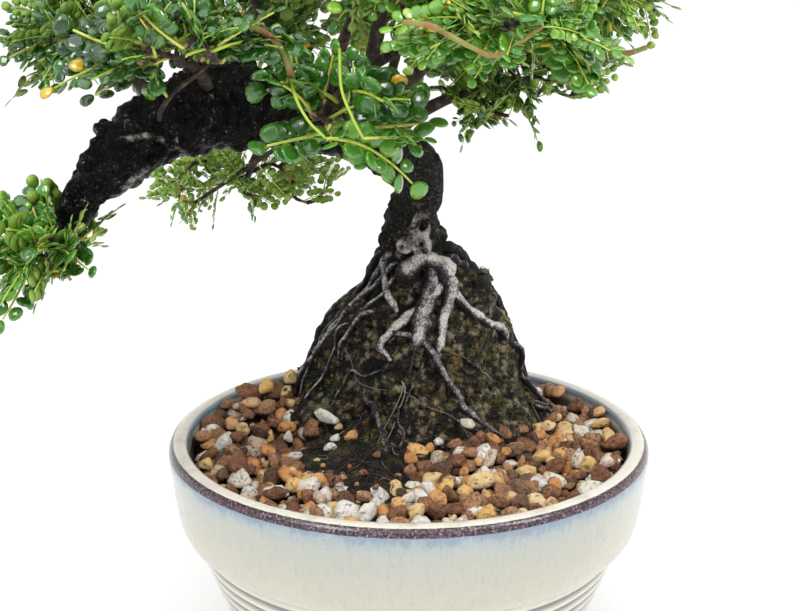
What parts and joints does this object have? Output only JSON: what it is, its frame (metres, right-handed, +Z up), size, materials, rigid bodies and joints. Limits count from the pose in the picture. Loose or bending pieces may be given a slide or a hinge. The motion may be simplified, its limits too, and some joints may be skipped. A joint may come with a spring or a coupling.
{
  "type": "osteomeles bonsai",
  "caption": "Bonsai tree on an exposed root cone, its trunk bent over to one side under pads of pinnate leaves, in a round glazed pot filled with gravelly soil.",
  "frame": {"origin": "on the surface that the pot stands on, under the middle of the whole object's box", "axes": "+Z up, -Y towards the front of the tree, +X to the right as seen from the front"},
  "size_m": [0.2231, 0.2086, 0.2888],
  "materials": {
    "glaze": "gloss",
    "screen": "matte",
    "soil": "matte",
    "root_soil": "matte",
    "bark": "matte",
    "leaf": "satin"
  },
  "bodies": {
    "root": {"pot": "glaze", "drainage_screen": "screen", "soil_bed": "soil", "root_cone": "root_soil", "trunk_and_roots": "bark", "foliage_apex": "leaf", "foliage_apex_left": "leaf", "foliage_front_upper": "leaf", "foliage_right": "leaf", "foliage_right_upper": "leaf", "foliage_front_right": "leaf", "foliage_front": "leaf", "foliage_left_front": "leaf", "foliage_left": "leaf", "foliage_cascade": "leaf", "foliage_back_left_low": "leaf", "foliage_back_left": "leaf", "foliage_back": "leaf", "foliage_back_right": "leaf"}
  },
  "joints": []
}
